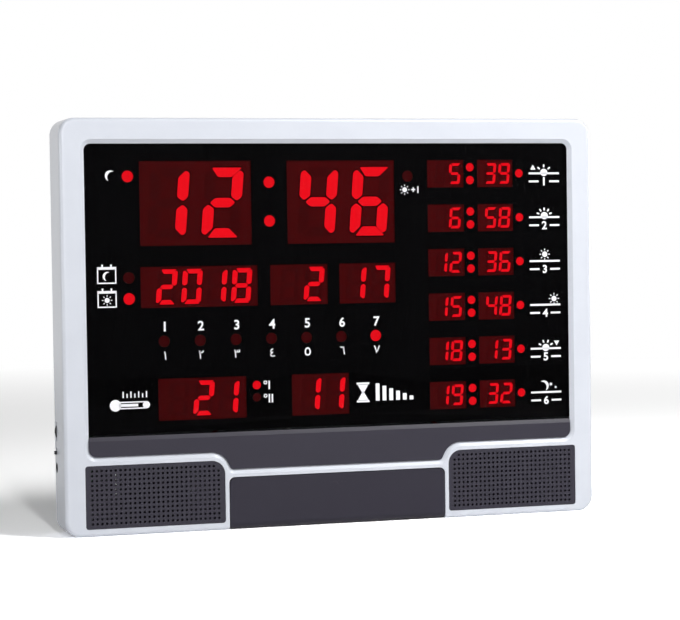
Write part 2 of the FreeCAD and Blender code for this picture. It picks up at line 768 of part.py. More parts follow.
def main_chips():
    top = main_d + board_thick
    mid = (main_bottom + main_top) / 2
    chips = [(-20.0, 3.0, 14.0, 14.0, 1.6), (25.0, 8.0, 9.0, 12.0, 2.4), (22.0, -25.0, 10.0, 8.0, 2.2),
             (-30.0, -29.0, 12.0, 5.0, 1.8)]
    pieces = [block(x - w, x + w, top, top + h, mid + z - t, mid + z + t) for x, z, w, t, h in chips]
    pieces += [rod(x, mid + z, 3.2, top, top + 7.0) for x, z in ((50.0, 31.0), (50.0, 21.0), (-50.0, 29.0))]
    return group(pieces)


def board_header():
    return block(-25, 25, board_d + board_thick, main_d, main_bottom + 4, main_bottom + 9)


def board_spacers():
    corners = [(sx * (main_half - 5), z) for sx in (-1, 1) for z in (main_bottom + 14, main_top - 6)]
    return group([rod(x, z, 2.5, board_d + board_thick, main_d) for x, z in corners])


def infrared_receiver():
    x, z = -window_half + 17, weekday_z + 10
    body = block(x - 3, x + 3, board_d - 5, board_d, z - 3.5, z + 3.5)
    return joined(body, rod(x, z, 2.4, board_d - 6.5, board_d - 5))


def temperature_sensor():
    top = main_d + board_thick
    return joined(rod(0, main_top - 8, 1.0, top, top + 4), rod(0, main_top - 8, 2.2, top + 4, top + 8))


def screw(x, z, seat_d, long):
    """A pan head screw driven from behind, with its head against the seat."""
    head = rod(x, z, head_r, seat_d, seat_d + head_high)
    shank = rod(x, z, screw_r, seat_d - long, seat_d)
    slot = block(x - head_r, x + head_r, seat_d + head_high - 0.7, seat_d + head_high + 1, z - 0.4, z + 0.4)
    return joined(head, shank).cut(slot)


def cover_screws():
    return group([screw(x, z, shell_depth, 12.0) for x, z in cover_posts])


def board_screws():
    pieces = [screw(x, z, board_d + board_thick, 7.0) for x, z in board_posts]
    pieces += [screw(x, z, side_board_d + board_thick, 7.0) for x, z in side_posts]
    pieces += [screw(x, z, key_board_d + board_thick, 5.0) for x, z in board_feet]
    return group(pieces)


def speaker_screws():
    seat = speaker_d + speaker_flange
    pieces = []
    for side in (-1, 1):
        for i, k in speaker_corners:
            x, z = side * speaker_x + i, speaker_z + k
            pieces.append(joined(rod(x, z, 2.4, seat, seat + 1.2), rod(x, z, screw_r, speaker_d, seat)))
    return group(pieces)


def lead(points, r):
    """A wire with its core, run along straight stretches joined by wide tangent arcs."""
    places = [at(*p) for p in points]
    edges = []
    last = places[0]
    for i in range(1, len(places) - 1):
        back = (places[i - 1] - places[i])
        ahead = (places[i + 1] - places[i])
        reach = 0.45 * min(back.Length, ahead.Length)
        back.normalize()
        ahead.normalize()
        half = back.getAngle(ahead) / 2
        radius = reach * math.tan(half)
        start = places[i] + back * reach
        end = places[i] + ahead * reach
        middle = places[i] + (back + ahead).normalize() * (radius / math.sin(half) - radius)
        edges.append(Part.LineSegment(last, start).toShape())
        edges.append(Part.Arc(start, middle, end).toShape())
        last = end
    edges.append(Part.LineSegment(last, places[-1]).toShape())
    path = Part.Wire(edges)
    along = (places[1] - places[0]).normalize()
    ring = Part.Wire(Part.Circle(places[0], along, r).toShape())
    return path.makePipeShell([ring], True, False)


def speaker_leads():
    start = speaker_d + speaker_flange
    pieces = []
    for side in (-1, 1):
        for k in (0, 1):
            x = side * (speaker_x - 15.0 + 3 * k)
            z = speaker_z + 22.0
            end_x = side * (main_half - 8 - 4 * k)
            end_z = main_bottom + 8
            behind = rim_d - 4
            points = [(x, start, z), (x, behind - 6, z), (x - side * 25, behind - 1, z + 14),
                      (end_x + side * 10, behind, end_z - 22), (end_x, behind, end_z),
                      (end_x, main_d + board_thick, end_z)]
            pieces.append(lead(points, 0.7))
    return group(pieces)


pieces = {
    "front_bezel": front_bezel(),
    "display_lens": display_lens(),
    "display_mask": display_mask(),
    "trim_band": trim_band(),
    "control_door": control_door(),
    "key_panel": key_panel(),
    "key_switches": key_switches(),
    "key_board": key_board(),
    "latch_body": latch_body(),
    "latch_plunger": latch_plunger(),
    "volume_wheel": volume_wheel(),
    "volume_control": volume_control(),
    "slide_switch_body": slide_switch_body(),
    "slide_switch_knob": slide_switch_knob(),
    "power_socket": power_socket(),
    "side_board": side_board(),
    "display_board": display_board(),
    "main_board": main_board(),
    "main_chips": main_chips(),
    "board_header": board_header(),
    "board_spacers": board_spacers(),
    "infrared_receiver": infrared_receiver(),
    "temperature_sensor": temperature_sensor(),
    "indicator_lights": indicator_lights(),
    "rear_cover": rear_cover(),
    "battery_lid": battery_lid(),
    "battery_cells": battery_cells(),
    "battery_contacts": battery_contacts(),
    "cover_screws": cover_screws(),
    "board_screws": board_screws(),
    "speaker_screws": speaker_screws(),
    "speaker_leads": speaker_leads(),
    "time_modules": group(housings(time_windows, time_window_z)),
    "date_modules": group(housings(date_windows, date_window_z)),
    "count_modules": group(housings(count_windows, count_window_z)),
    "prayer_modules": group(prayer_housings()),
    "time_segments": group(digit_bars(time_digits_x, time_z, time_style)),
    "date_segments": group(digit_bars(date_digits_x, date_z, date_style)),
    "count_segments": group(digit_bars(count_digits_x, count_z, date_style)),
    "prayer_segments": group(prayer_bars()),
}
for name, x in zip(("menu", "set", "up", "down", "sound", "light"), key_x):
    pieces["key_" + name] = key(x)
for side, name in ((-1, "left"), (1, "right")):
    basket, cone, magnet = speaker(side)
    pieces["speaker_grille_" + name] = speaker_grille(side)
    pieces["speaker_basket_" + name] = basket
    pieces["speaker_cone_" + name] = cone
    pieces["speaker_magnet_" + name] = magnet

os.makedirs("parts", exist_ok=True)
for name, shape in pieces.items():
    shape.exportStep("parts/" + name + ".step")
    print(name, len(shape.Solids), "solid(s)", "valid" if shape.isValid() else "NOT VALID",
          round(shape.Volume / 1000, 3), "cm3")
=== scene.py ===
# %% [markdown]
# # A wall and table clock with a lit display
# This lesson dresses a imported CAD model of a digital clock: a silver frame, a smoked window
# with red seven-bar digits behind it, and a dark lower band with two speakers and a small door.
# The CAD model comes first, as the fixed frame that every other piece is fitted to. Its box is
# kept, so that the finished look can be measured against it at the end.

# %% Load the frame
import math

import bmesh
import bpy
from mathutils import Matrix, Vector


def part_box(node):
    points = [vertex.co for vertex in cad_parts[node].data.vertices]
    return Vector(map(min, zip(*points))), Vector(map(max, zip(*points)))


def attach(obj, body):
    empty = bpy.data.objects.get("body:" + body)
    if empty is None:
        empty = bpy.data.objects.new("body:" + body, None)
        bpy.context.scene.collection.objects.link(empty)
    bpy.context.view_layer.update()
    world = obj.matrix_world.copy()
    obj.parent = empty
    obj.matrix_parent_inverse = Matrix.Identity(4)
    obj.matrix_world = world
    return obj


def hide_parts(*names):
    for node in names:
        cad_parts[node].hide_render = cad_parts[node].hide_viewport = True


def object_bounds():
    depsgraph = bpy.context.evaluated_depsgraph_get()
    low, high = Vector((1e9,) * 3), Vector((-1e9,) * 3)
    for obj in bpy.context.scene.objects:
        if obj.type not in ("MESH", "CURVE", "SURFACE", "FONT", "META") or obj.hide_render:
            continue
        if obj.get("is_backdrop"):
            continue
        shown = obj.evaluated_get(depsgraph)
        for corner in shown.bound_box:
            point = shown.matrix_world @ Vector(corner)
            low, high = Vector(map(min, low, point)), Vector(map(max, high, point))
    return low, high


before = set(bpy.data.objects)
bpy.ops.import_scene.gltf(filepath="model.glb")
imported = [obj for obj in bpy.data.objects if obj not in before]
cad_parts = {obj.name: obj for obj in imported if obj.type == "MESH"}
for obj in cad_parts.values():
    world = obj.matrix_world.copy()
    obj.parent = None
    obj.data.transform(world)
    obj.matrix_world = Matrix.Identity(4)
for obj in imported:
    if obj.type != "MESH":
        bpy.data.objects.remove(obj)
cad_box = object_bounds()

# %% [markdown]
# The clock is drawn in millimetres, measured from the middle of its foot, and its depth is
# counted from the front face backwards. Blender works in metres with the front facing -Y. One
# short function turns a place on the clock into a place in Blender, so that the numbers below
# read like a drawing.

# %% From the drawing to Blender
front_y = -21.5  # the front of the frame in Blender, in mm


def at(x, depth, z):
    """A place on the clock, in mm, as a point in Blender."""
    return Vector((x, front_y + depth, z)) / 1000


def node_size(node):
    """Width, depth and height of a CAD node in mm."""
    low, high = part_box(node)
    return [round((b - a) * 1000, 2) for a, b in zip(low, high)]


print("bezel", node_size("front_bezel"), "lens", node_size("display_lens"))

# %% [markdown]
# A finish is a node tree, and most of its nodes are sums. Writing them one by one hides the idea,
# so a socket is wrapped in a small class: an expression such as `1 - mask * 0.5` then adds the Math
# nodes by itself. Every other node comes from one method, which takes its type, its settings and
# what goes into its sockets.

# %% Shader sums as Python
class Wire:
    """A socket of a finish that can be used in a sum."""

    def __init__(self, finish, socket):
        self.finish, self.socket = finish, socket

    def sum(self, operation, first, second):
        return self.finish.node("ShaderNodeMath", {"operation": operation}, {0: first, 1: second})

    def __add__(self, other):
        return self.sum("ADD", self, other)

    def __radd__(self, other):
        return self.sum("ADD", other, self)

    def __sub__(self, other):
        return self.sum("SUBTRACT", self, other)

    def __rsub__(self, other):
        return self.sum("SUBTRACT", other, self)

    def __mul__(self, other):
        return self.sum("MULTIPLY", self, other)

    def __rmul__(self, other):
        return self.sum("MULTIPLY", other, self)

    def __gt__(self, other):
        return self.sum("GREATER_THAN", self, other)

    def __lt__(self, other):
        return self.sum("LESS_THAN", self, other)

    def wave(self):
        return self.sum("SINE", self, 0)


class Nodes:
    """A node tree, of a finish or of the world, written in short calls."""

    def __init__(self, tree):
        self.tree = tree

    def node(self, kind, settings=None, inputs=None, out=0):
        """A new node; its settings are made first, then its sockets are filled."""
        made = self.tree.nodes.new(kind)
        for key, value in (settings or {}).items():
            setattr(made, key, value)
        for key, value in (inputs or {}).items():
            self.put(made.inputs[key], value)
        return Wire(self, made.outputs[out])

    def put(self, socket, value):
        """A link if the value is a wire, and otherwise a plain number or colour."""
        if isinstance(value, Wire):
            self.tree.links.new(value.socket, socket)
        elif socket.type == "RGBA" and len(value) == 3:
            socket.default_value = (*value, 1)
        else:
            socket.default_value = value

    def rays(self):
        """Three masks: rays that are seen, mirrored, and seen through something."""
        return (self.node("ShaderNodeLightPath", out="Is " + kind + " Ray")
                for kind in ("Camera", "Glossy", "Transmission"))


class Finish(Nodes):
    """One material: a Principled shader, its fixed values, and the nodes that vary it."""

    def __init__(self, name, colour, **values):
        self.material = bpy.data.materials.new(name)
        self.material.use_nodes = True
        super().__init__(self.material.node_tree)
        self.shader = self.tree.nodes["Principled BSDF"]
        self.place = self.node("ShaderNodeTexCoord", out="Object")
        self.set(Base_Color=colour, **values)

    def set(self, **values):
        """Values or wires for the shader; an underscore stands for the space in a socket's name."""
        for key, value in values.items():
            self.put(self.shader.inputs[key.replace("_", " ")], value)

    def noise(self, scale, detail=2.0, roughness=0.5):
        """Grey noise from 0 to 1 with grains 1 / scale metres wide."""
        return self.node("ShaderNodeTexNoise", {}, {
            "Vector": self.place, "Scale": scale, "Detail": detail, "Roughness": roughness})

    def between(self, mask, low, high):
        """A colour that goes from low to high as the mask goes from 0 to 1."""
        return self.node("ShaderNodeMix", {"data_type": "RGBA"}, {0: mask, 6: low, 7: high}, out=2)

    def bump(self, height, strength, distance):
        """Raises the surface by height times distance, in metres, in its shading only."""
        normal = self.node("ShaderNodeBump", {}, {
            "Height": height, "Strength": strength, "Distance": distance})
        self.set(Normal=normal)


def shade(red, green, blue):
    """A colour written as 0 to 255 on the screen, turned into the linear numbers a shader needs."""
    return tuple(((c / 255 + 0.055) / 1.055) ** 2.4 if c > 10 else c / 255 / 12.92
                 for c in (red, green, blue))


print("mid grey is", [round(c, 3) for c in shade(128, 128, 128)])

# %% [markdown]
# The frame is moulded plastic under a pale silver lacquer. The lacquer isn't mirror metal: it is a
# light, slightly blue grey with a satin shine, very fine flakes that change its brightness a
# little, and a soft orange-peel skin. A low Metallic value with a little coat gives that
# better than a full metal, whose face would take its tone from whatever it mirrors.

# %% Silver lacquer
silver = Finish("silver_lacquer", shade(214, 218, 227), Roughness=0.34, Metallic=0.06,
                Specular_IOR_Level=0.22, Coat_Weight=0.4, Coat_Roughness=0.14)
flakes = silver.noise(2600, 1.0)
clouds = silver.noise(38, 3.0)
silver.set(Base_Color=silver.between(flakes * 0.5 + clouds * 0.5, shade(206, 210, 220), shade(222, 226, 234)),
           Roughness=0.29 + flakes * 0.12)
silver.bump(silver.noise(420, 2.0) + flakes * 0.25, 0.10, 0.0002)
print("lacquer nodes:", len(silver.tree.nodes))

# %% [markdown]
# The band, the grilles and the door are the same dark plum grey plastic. They have a fine spark-eroded
# skin that breaks up the shine, and the moulding leaves faint cloudy shifts in its tone. The
# door is a shade darker, because it is another moulding.

# %% Dark moulded plastic
def moulded(name, low, high, rough, grain, depth):
    """Matt plastic with an eroded skin: grain is in grains per metre, and depth in metres."""
    finish = Finish(name, high, Roughness=rough, Specular_IOR_Level=0.28)
    skin = finish.noise(grain, 3.0, 0.62)
    tone = finish.noise(30, 3.0)
    finish.set(Base_Color=finish.between(skin * 0.45 + tone * 0.55, low, high),
               Roughness=(rough - 0.06) + skin * 0.14)
    finish.bump(skin, 0.35, depth)
    return finish


plum = moulded("plum_plastic", shade(37, 35, 46), shade(48, 45, 57), 0.46, 1500, 0.00012)
door_plum = moulded("door_plastic", shade(30, 27, 39), shade(39, 36, 49), 0.42, 1700, 0.00010)
rear_grey = moulded("rear_plastic", shade(172, 176, 180), shade(184, 188, 192), 0.56, 900, 0.00022)
control_black = moulded("control_plastic", shade(24, 24, 26), shade(34, 34, 37), 0.42, 1500, 0.0001)
key_skin = moulded("soft_key_skin", shade(118, 120, 128), shade(132, 134, 142), 0.62, 1100, 0.00008)
print("moulded plastics:", [f.material.name for f in (plum, door_plum, rear_grey, control_black, key_skin)])

# %% [markdown]
# The window is one smoked acrylic plate over a black film with openings. Behind the openings sit
# the digit modules, whose faces are a dark red filter. Making the plate see-through with a plain
# Alpha, and leaving the film and the modules where they really are, gives the depth of the real
# display: the black is black, the openings are dark red, and lit bars glow through the smoke. Its
# shine is kept low, since such a window has an anti-glare skin, and faint wide smudges change it.

# %% Window and display finishes
smoke = Finish("smoked_acrylic", shade(4, 3, 4), Alpha=0.28, Specular_IOR_Level=0.03)
smoke.set(Roughness=0.085 + smoke.noise(30, 3.0) * 0.03)
film = Finish("printed_film", shade(2, 2, 3), Specular_IOR_Level=0.05)
film.set(Roughness=0.68 + film.noise(900) * 0.05)
filter_red = Finish("red_filter", shade(108, 0, 4), Roughness=0.5, Specular_IOR_Level=0.1)
filter_red.set(Base_Color=filter_red.between(filter_red.noise(260, 2.0), shade(102, 0, 2), shade(114, 0, 5)))
bar_dark = Finish("bar_unlit", shade(76, 0, 4), Roughness=0.4, Specular_IOR_Level=0.1)
bar_dark.set(Base_Color=bar_dark.between(bar_dark.noise(500), shade(88, 0, 2), shade(104, 0, 4)))


def glow(name, colour, strength):
    """A lit bar or dot, whose resin scatters the light a little unevenly."""
    finish = Finish(name, shade(60, 0, 4), Roughness=0.5, Specular_IOR_Level=0.1, Emission_Strength=strength)
    brighter = tuple(min(1, c * 1.12 + 0.004) for c in colour)
    finish.set(Emission_Color=finish.between(finish.noise(700, 2.0), colour, brighter))
    return finish


bar_lit = glow("bar_lit", shade(246, 0, 20), 1.6)
dot_lit = glow("dot_lit", shade(246, 0, 20), 1.45)
print("window lets through", round(1 - smoke.shader.inputs["Alpha"].default_value, 2))

# %% [markdown]
# The white marks on the window are screen printed: flat ink, very slightly uneven, and a faint white
# glow is painted into the ink as painted light, which keeps it bright. The rest of the clock needs
# the plain working finishes of its insides: steel, brass, a lacquered circuit board, black component
# resin, paper cones, the magnets' ferrite and the wrap of the cells.

# %% Print, metal and inside finishes
# The white emission of the print is painted light: a faint glow that keeps the marks bright.
ink = Finish("white_print_painted_glow", shade(242, 242, 246), Roughness=0.6, Specular_IOR_Level=0.2,
             Emission_Color=(1, 1, 1), Emission_Strength=0.10)
ink.set(Base_Color=ink.between(ink.noise(1400), shade(236, 236, 240), shade(248, 248, 252)))


def metal(name, low, high, rough, brushed):
    """Bright metal with fine lines along one axis; brushed gives the lines per metre on X, Y and Z."""
    finish = Finish(name, high, Metallic=1.0, Roughness=rough)
    lines = finish.node("ShaderNodeMapping", {}, {"Vector": finish.place, "Scale": brushed})
    grain = finish.node("ShaderNodeTexNoise", {}, {"Vector": lines, "Scale": 1.0, "Detail": 2.0})
    finish.set(Base_Color=finish.between(grain, low, high), Roughness=(rough - 0.08) + grain * 0.16)
    finish.bump(grain, 0.2, 0.00004)
    return finish


steel = metal("zinc_steel", shade(168, 170, 174), shade(196, 198, 203), 0.34, (900, 900, 120))
brass = metal("brass_plating", shade(190, 150, 82), shade(214, 176, 104), 0.30, (900, 900, 160))
# This dark finish is the magnets' ferrite, and on the speaker baskets and screws it is painted shade.
ferrite_and_painted_shade = moulded("ferrite_and_painted_shade", shade(38, 38, 41), shade(54, 54, 58), 0.55, 800, 0.0001)
resin_black = moulded("component_resin", shade(22, 22, 23), shade(31, 31, 33), 0.48, 1300, 0.00006)
wire_red = moulded("wire_sleeve", shade(140, 20, 18), shade(170, 30, 26), 0.40, 600, 0.00003)
print("metals:", steel.material.name, brass.material.name)

# %% [markdown]
# A circuit board is green lacquer over copper tracks. Two sets of thin stripes, crossed and broken
# up by noise, read as tracks at this size, and they raise the lacquer a little, as real copper does.

# %% Circuit board
board = Finish("green_board", shade(20, 84, 48), Roughness=0.32, Coat_Weight=0.3)
across, up = (board.node("ShaderNodeSeparateXYZ", {}, {0: board.place}, out=axis) for axis in ("X", "Z"))
upright_tracks = ((across * 2400).wave() > 0.72) * (board.noise(55) > 0.5)
level_tracks = ((up * 2100).wave() > 0.72) * (board.noise(47) > 0.54)
bare = upright_tracks + level_tracks < 0.5
board.set(Base_Color=board.between(bare, shade(58, 128, 74), shade(18, 78, 44)), Roughness=0.26 + bare * 0.1)
board.bump(1 - bare, 0.3, 0.00004)
print("board nodes:", len(board.tree.nodes))

# %% [markdown]
# A loudspeaker cone is pressed paper: a dull, warm dark grey with short fibres pressed in every
# direction. It is kept darker still as painted shade, so that the grille holes in front of it read
# black. Fine noise with much detail stands for the fibres, and also raises the surface. The
# back-up cells are wrapped in a thin shiny film, whose blue shifts a little.

# %% Paper cone and cell wrap
# The cone's dark tone is partly painted shade, so the grille holes in front of it read black.
paper_with_painted_shade = Finish("pressed_paper_with_painted_shade", shade(44, 42, 40), Roughness=0.85)
fibres = paper_with_painted_shade.noise(1900, 5.0, 0.75)
paper_with_painted_shade.set(Base_Color=paper_with_painted_shade.between(fibres, shade(20, 19, 18), shade(40, 38, 36)),
          Roughness=0.75 + fibres * 0.2)
paper_with_painted_shade.bump(fibres, 0.6, 0.0002)
wrap = Finish("cell_wrap", shade(40, 92, 128), Roughness=0.30, Coat_Weight=0.4)
wrap.set(Base_Color=wrap.between(wrap.noise(160), shade(34, 82, 118), shade(48, 104, 140)))
print("finishes so far:", len(bpy.data.materials))

# %% [markdown]
# Most of the CAD nodes already have the right shape, so they stay and only take a finish. The
# table below is the whole list, node by node. A node that is missing from it would show the plain
# CAD colour, so the cell ends by checking that none is.

# %% Finish for every CAD node
finishes = {
    silver: ["front_bezel"],
    plum: ["trim_band", "speaker_grille_left", "speaker_grille_right"],
    door_plum: ["control_door", "latch_plunger"],
    rear_grey: ["rear_cover", "battery_lid"],
    control_black: ["key_panel", "latch_body", "volume_wheel", "slide_switch_knob", "slide_switch_body",
                    "volume_control", "power_socket"],
    key_skin: ["key_menu", "key_set", "key_up", "key_down", "key_sound", "key_light"],
    smoke: ["display_lens"],
    film: ["display_mask"],
    filter_red: ["time_modules", "date_modules", "count_modules", "prayer_modules"],
    bar_dark: ["time_segments", "date_segments", "count_segments", "prayer_segments", "indicator_lights"],
    board: ["display_board", "main_board", "side_board", "key_board"],
    resin_black: ["main_chips", "board_header", "key_switches", "infrared_receiver", "temperature_sensor"],
    steel: ["cover_screws", "board_screws", "battery_contacts"],
    brass: ["board_spacers"],
    # The speaker baskets and screws take the dark ferrite finish as painted shade, so nothing bright shows
    # through the grille holes.
    ferrite_and_painted_shade: ["speaker_magnet_left", "speaker_magnet_right", "speaker_basket_left", "speaker_basket_right",
              "speaker_screws"],
    paper_with_painted_shade: ["speaker_cone_left", "speaker_cone_right"],
    wrap: ["battery_cells"],
    wire_red: ["speaker_leads"],
}


def coat(thing, *coats):
    """Gives an object these finishes in place of its own; clearing a new mesh would reset its faces."""
    if thing.data.materials:
        thing.data.materials.clear()
    for finish in coats:
        thing.data.materials.append(finish.material)


for finish, nodes in finishes.items():
    for node in nodes:
        coat(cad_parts[node], finish)
left_over = set(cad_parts) - {node for nodes in finishes.values() for node in nodes}
print("nodes without a finish:", sorted(left_over) or "none")

# %% [markdown]
# New pieces are made in bmesh and all finished the same way: doubles are merged, the faces are
# turned outwards, and edges sharper than a set angle stay crisp. The piece is told which CAD body
# carries it and which CAD nodes it replaces, which are then hidden.

# %% Finishing a piece
def finish_piece(name, shape, coats, body, replaces=(), crisp=32):
    """Turns a bmesh into a finished piece that rides on a CAD body."""
    bmesh.ops.remove_doubles(shape, verts=shape.verts[:], dist=1e-6)
    bmesh.ops.recalc_face_normals(shape, faces=shape.faces[:])
    for edge in shape.edges:
        edge.smooth = len(edge.link_faces) == 2 and edge.calc_face_angle(0) < math.radians(crisp)
    for face in shape.faces:
        face.smooth = True
    mesh = bpy.data.meshes.new(name)
    shape.to_mesh(mesh)
    shape.free()
    piece = bpy.data.objects.new(name, mesh)
    bpy.context.scene.collection.objects.link(piece)
    coat(piece, *coats)
    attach(piece, body)
    if replaces:
        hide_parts(*replaces)
    print(name, "faces:", len(mesh.polygons), "rides on:", body)


def copy_of(node):
    """A bmesh of a CAD node with its loose triangles joined up."""
    shape = bmesh.new()
    shape.from_mesh(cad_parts[node].data)
    bmesh.ops.remove_doubles(shape, verts=shape.verts[:], dist=2e-6)
    return shape


def islands(shape):
    """The separate lumps of a bmesh, each as (middle, faces)."""
    waiting, lumps = set(shape.faces), []
    while waiting:
        lump, rim = set(), [waiting.pop()]
        while rim:
            face = rim.pop()
            lump.add(face)
            near = {other for corner in face.verts for other in corner.link_faces if other in waiting}
            waiting -= near
            rim.extend(near)
        corners = {corner for face in lump for corner in face.verts}
        lows = [min(c.co[i] for c in corners) for i in range(3)]
        highs = [max(c.co[i] for c in corners) for i in range(3)]
        lumps.append((Vector([(a + b) / 2 for a, b in zip(lows, highs)]), lump))
    return lumps


print("bars in the time display:", len(islands(copy_of("time_segments"))))

# %% [markdown]
# A seven-bar digit lights some of its bars. The CAD holds every bar at its real place, so the
# display is a copy of those bars, each finished as lit or unlit. Each bar is recognised by where
# it sits in its digit, and each digit by its place on the clock. The numerals are plain readings
# of time, date, temperature and count.

# %% Which bars are lit
bars_of = {" ": "", "0": "abcdef", "1": "bc", "2": "abdeg", "3": "abcdg", "4": "bcfg",
           "5": "acdfg", "6": "acdefg", "7": "abc", "8": "abcdefg", "9": "abcdfg"}


def bar_letter(across, up):
    """The usual letter of a bar, from its place in the digit: both run from -1 to 1."""
    if abs(across) < 0.45:
        return "g" if abs(up) < 0.3 else ("a" if up > 0 else "d")
    return ("b" if up > 0 else "c") if across > 0 else ("f" if up > 0 else "e")


print("a 2 lights bars", bars_of["2"], "and the bar at the top right is", bar_letter(0.8, 0.5))

# %% [markdown]
# The rows of the display: what each group of digits reads, the middle of the group, the pitch of
# its digits, its height on the clock, and how tall and wide one digit is. The numbers are those of
# the CAD, in mm. Digits lean to the right, and the six rows of times stand at an even pitch.

# %% The rows of the display
big, medium, small = (53.0, 30.0), (26.0, 15.0), (16.0, 9.3)
lean = 0.08  # sideways, per mm of height
row_times = [(" 5", "39"), (" 6", "58"), ("12", "36"), ("15", "48"), ("18", "13"), ("19", "32")]
row_heights = [271.8 - 35.0 * row for row in range(len(row_times))]
rows = {
    "time": [("12", -109.7, 42.5, 250.6, big), ("46", 9.0, 42.5, 250.6, big)],
    "date": [("2018", -103.8, 19.6, 187.0, medium), (" 2", -26.0, 19.6, 187.0, medium),
             ("17", 28.0, 19.6, 187.0, medium)],
    "count": [(" 21", -105.5, 19.6, 101.6, medium), ("11", -10.3, 19.6, 101.6, medium)],
    "prayer": [],
}
for (hours, minutes), height in zip(row_times, row_heights):
    rows["prayer"] += [(hours, 95.2, 11.8, height, small), (minutes, 137.0, 11.8, height, small)]
digits = {name: [(text[i], middle + pitch * (i - (len(text) - 1) / 2), z, *size)
                 for text, middle, pitch, z, size in groups for i in range(len(text))]
          for name, groups in rows.items()}
print({name: len(places) for name, places in digits.items()}, "digits")

# %% [markdown]
# A lit bar looks a little larger than its opening, because the resin scatters the light, and it
# has a thin dark edge, where the reflector's wall stops it. So each lit bar is scaled up about
# its own middle, and a slightly larger dark copy is set just behind it.

# %% Light the bars
bar_edge = Finish("bar_edge", shade(26, 0, 2), Specular_IOR_Level=0.05)
bar_edge.set(Roughness=0.55 + bar_edge.noise(600) * 0.1)


def is_lit(middle, places):
    """Whether the bar with this middle is on, from the digit that it belongs to."""
    x, z = middle.x * 1000, middle.z * 1000
    text, digit_x, digit_z, tall, wide = min(
        places, key=lambda place: abs(place[1] - x) / place[4] + abs(place[2] - z) / place[3])
    across = (x - digit_x - lean * (z - digit_z)) / (wide / 2)
    return bar_letter(across, (z - digit_z) / (tall / 2)) in bars_of[text]


def grow(shape, corners, middle, along, thicker):
    """Scales a bar about its middle, in mm: its ends move out by along, its sides by thicker."""
    half = [max(abs(c.co[i] - middle[i]) for c in corners) * 1000 for i in (0, 2)]
    by = (along, thicker) if half[0] > half[1] else (thicker, along)
    bmesh.ops.scale(shape, vec=((half[0] + by[0]) / half[0], 1, (half[1] + by[1]) / half[1]),
                    space=Matrix.Translation(-middle), verts=corners)


def round_corners(shape, radius):
    """Bevels the edges of every bar that run from front to back, which softens its tips."""
    through = [edge for edge in shape.edges
               if abs(edge.verts[0].co.y - edge.verts[1].co.y) > 0.00015]
    bmesh.ops.bevel(shape, geom=through, offset=radius / 1000, offset_type="OFFSET", affect="EDGES",
                    segments=3, profile=0.5, material=-1, clamp_overlap=True)


def lit_display(row, thicker, edge_out, corner):
    """The bars of one part of the display, lit as its digits read; the growth is in mm."""
    shape = copy_of(row + "_segments")
    bmesh.ops.dissolve_limit(shape, angle_limit=math.radians(3), verts=shape.verts[:], edges=shape.edges[:])
    round_corners(shape, corner)
    lit_bars = [(middle, faces) for middle, faces in islands(shape) if is_lit(middle, digits[row])]
    for middle, faces in lit_bars:
        copied = bmesh.ops.duplicate(shape, geom=list(faces))["geom"]
        edge_corners = [part for part in copied if isinstance(part, bmesh.types.BMVert)]
        grow(shape, edge_corners, middle, edge_out, thicker + edge_out)
        bmesh.ops.translate(shape, vec=(0, 0.0001, 0), verts=edge_corners)
        grow(shape, list({tip for face in faces for tip in face.verts}), middle, 0.0, thicker)
        for face in faces:
            face.material_index = 1
        for part in copied:
            if isinstance(part, bmesh.types.BMFace):
                part.material_index = 2
    print(row, "bars lit:", len(lit_bars))
    finish_piece(row + "_bars", shape, [bar_dark, bar_lit, bar_edge], "casing",
                 [row + "_segments"], crisp=20)


lit_display("time", 0.25, 0.85, 1.3)
lit_display("date", 0.36, 0.65, 0.6)
lit_display("count", 0.36, 0.65, 0.6)
lit_display("prayer", 0.24, 0.4, 0.35)

# %% [markdown]
# The round lights work the same way. Those that are on: the half of the day, the calendar in use,
# the colons, the weekday, the unit of temperature and, in each row of times, the colon and the
# light beside it. The rest stay dark red.

# %% Light the dots
on_dots = {"second half of the day": (-162.3, 271.0), "calendar in use": (-162.5, 178.5),
           "upper colon": (-51.4, 266.0), "lower colon": (-51.4, 236.2),
           "seventh weekday": (33.5, 145.7), "first unit": (-63.6, 110.0)}
for row, height in enumerate(row_heights):
    on_dots["upper colon", row] = (113.9, height + 5.0)
    on_dots["lower colon", row] = (113.9, height - 5.2)
    on_dots["light", row] = (155.7, height)
dots = copy_of("indicator_lights")
bmesh.ops.dissolve_limit(dots, angle_limit=math.radians(2), verts=dots.verts[:], edges=dots.edges[:])
found = 0
for middle, faces in islands(dots):
    nearest = min(math.hypot(middle.x * 1000 - x, middle.z * 1000 - z) for x, z in on_dots.values())
    if nearest < 1.5:
        found += 1
        for face in faces:
            face.material_index = 1
print("dots lit:", found, "of", len(on_dots))
finish_piece("round_lights", dots, [bar_dark, dot_lit], "casing", ["indicator_lights"])

# %% [markdown]
# Small pictograms and plain numbers beside the lights say what they mean. They are printed flat on
# the front of the window, so a small drawing kit is enough: a disc, a bar, a triangle, a ring, a
# crescent and a sun, all made flat on the window and then given the thickness of ink. Places and
# sizes are in mm.

# %% A kit for printed marks
window_depth = 2.5
ink_depth = window_depth - 0.04
ink_thick = 0.06


def flat(shape, corners, x, z, size_x, size_z, turn=0.0):
    """Stands new corners up on the window: sized, turned in its plane and moved to their place."""
    sized = Matrix.Diagonal((size_x / 1000, size_z / 1000, 1, 1))
    upright = Matrix.Rotation(math.radians(turn), 4, "Y") @ Matrix.Rotation(math.radians(90), 4, "X")
    place = Matrix.Translation(at(x, ink_depth, z)) @ upright @ sized
    bmesh.ops.transform(shape, matrix=place, verts=corners)


